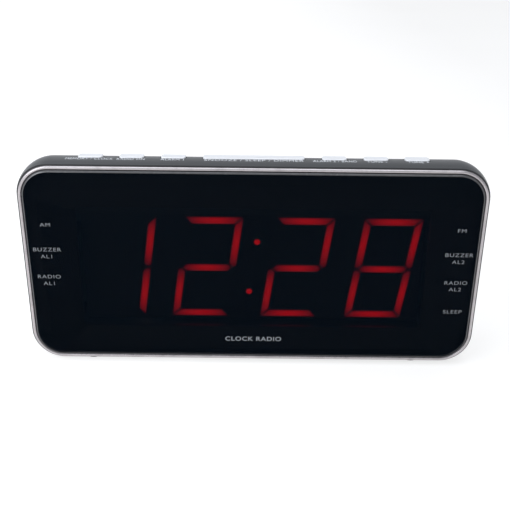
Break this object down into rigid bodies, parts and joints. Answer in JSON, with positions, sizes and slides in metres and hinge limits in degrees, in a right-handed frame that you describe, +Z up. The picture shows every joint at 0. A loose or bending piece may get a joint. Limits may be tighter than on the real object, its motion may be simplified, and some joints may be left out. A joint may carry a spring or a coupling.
{
  "type": "clock radio",
  "caption": "Mains clock radio with a wide smoked display window in a silver bead, a large red digital display, a row of top keys and a tapered rear cover with grille.",
  "frame": {"origin": "middle of the footprint, on the surface that the feet stand on", "axes": "+Z up, display faces -Y, +X to the right of someone who looks at the display"},
  "size_m": [0.1906, 0.046, 0.0905],
  "materials": {
    "anthracite_plastic": "fine texture",
    "silver_trim": "satin silver plating",
    "smoked_lens": "gloss",
    "silver_keys": "silver paint",
    "foam_tape": "matt",
    "foot_rubber": "matt",
    "zinc_steel": "zinc plated",
    "lit_red": "glowing diffuser",
    "unlit_diffuser": "dark diffuser",
    "display_block": "matt",
    "board_laminate": "paper laminate",
    "black_moulding": "matt",
    "ivory_plastic": "matt",
    "capacitor_sleeve": "shrunk sleeve",
    "heat_sink": "extruded",
    "core_steel": "laminated",
    "copper_winding": "enamelled wire",
    "ferrite": "matt",
    "cone_paper": "pressed paper",
    "cell_jacket": "printed jacket",
    "cable_jacket": "soft plastic"
  },
  "bodies": {
    "case": {"front_cabinet": "anthracite_plastic", "rear_cover": "anthracite_plastic", "front_frame": "silver_trim", "front_lens": "smoked_lens", "lens_tape": "foam_tape", "rubber_feet": "foot_rubber", "cord_gland": "foot_rubber", "case_screws": "zinc_steel", "key_board_screws": "zinc_steel", "display_screws": "zinc_steel", "main_board_screws": "zinc_steel", "transformer_screws": "zinc_steel", "speaker_screws": "zinc_steel", "speaker_clamps": "zinc_steel", "battery_contacts": "zinc_steel", "transformer_strap": "zinc_steel", "speaker_basket": "zinc_steel", "speaker_back_plate": "zinc_steel", "tuning_coils": "zinc_steel", "crystal": "zinc_steel", "segments_lit": "lit_red", "colon_dots": "lit_red", "segments_unlit": "unlit_diffuser", "indicator_leds": "unlit_diffuser", "display_housing": "display_block", "key_board": "board_laminate", "display_board": "board_laminate", "main_board": "board_laminate", "tact_switches": "black_moulding", "integrated_circuits": "black_moulding", "buzzer": "black_moulding", "transformer_bobbin": "black_moulding", "speaker_dust_cap": "black_moulding", "switch_plungers": "ivory_plastic", "ferrite_holders": "ivory_plastic", "capacitors": "capacitor_sleeve", "voltage_regulator": "heat_sink", "transformer_core": "core_steel", "transformer_windings": "copper_winding", "ferrite_coil": "copper_winding", "ferrite_rod": "ferrite", "speaker_magnet": "ferrite", "speaker_cone": "cone_paper", "backup_cells": "cell_jacket", "display_ribbon": "cable_jacket", "key_ribbon": "cable_jacket", "speaker_leads": "cable_jacket"},
    "preset_button": {"preset_button": "silver_keys"},
    "mode_button": {"mode_button": "silver_keys"},
    "alarm_one_button": {"alarm_one_button": "silver_keys"},
    "snooze_button": {"snooze_button": "silver_keys"},
    "alarm_two_button": {"alarm_two_button": "silver_keys"},
    "tune_down_button": {"tune_down_button": "silver_keys"},
    "tune_up_button": {"tune_up_button": "silver_keys"},
    "battery_door": {"battery_door": "anthracite_plastic"}
  },
  "joints": [
    {"name": "preset_press", "type": "slide", "parent": "case", "child": "preset_button", "axis": [0, 0, -1], "range_m": [0, 0.0005], "stiffness_N_per_m": 600},
    {"name": "mode_press", "type": "slide", "parent": "case", "child": "mode_button", "axis": [0, 0, -1], "range_m": [0, 0.0005], "stiffness_N_per_m": 600},
    {"name": "alarm_one_press", "type": "slide", "parent": "case", "child": "alarm_one_button", "axis": [0, 0, -1], "range_m": [0, 0.0005], "stiffness_N_per_m": 600},
    {"name": "snooze_press", "type": "slide", "parent": "case", "child": "snooze_button", "axis": [0, 0, -1], "range_m": [0, 0.0005], "stiffness_N_per_m": 600},
    {"name": "alarm_two_press", "type": "slide", "parent": "case", "child": "alarm_two_button", "axis": [0, 0, -1], "range_m": [0, 0.0005], "stiffness_N_per_m": 600},
    {"name": "tune_down_press", "type": "slide", "parent": "case", "child": "tune_down_button", "axis": [0, 0, -1], "range_m": [0, 0.0005], "stiffness_N_per_m": 600},
    {"name": "tune_up_press", "type": "slide", "parent": "case", "child": "tune_up_button", "axis": [0, 0, -1], "range_m": [0, 0.0005], "stiffness_N_per_m": 600},
    {"name": "battery_door_lift", "type": "slide", "parent": "case", "child": "battery_door", "axis": [0, 1, 0], "range_m": [0, 0.03]}
  ]
}
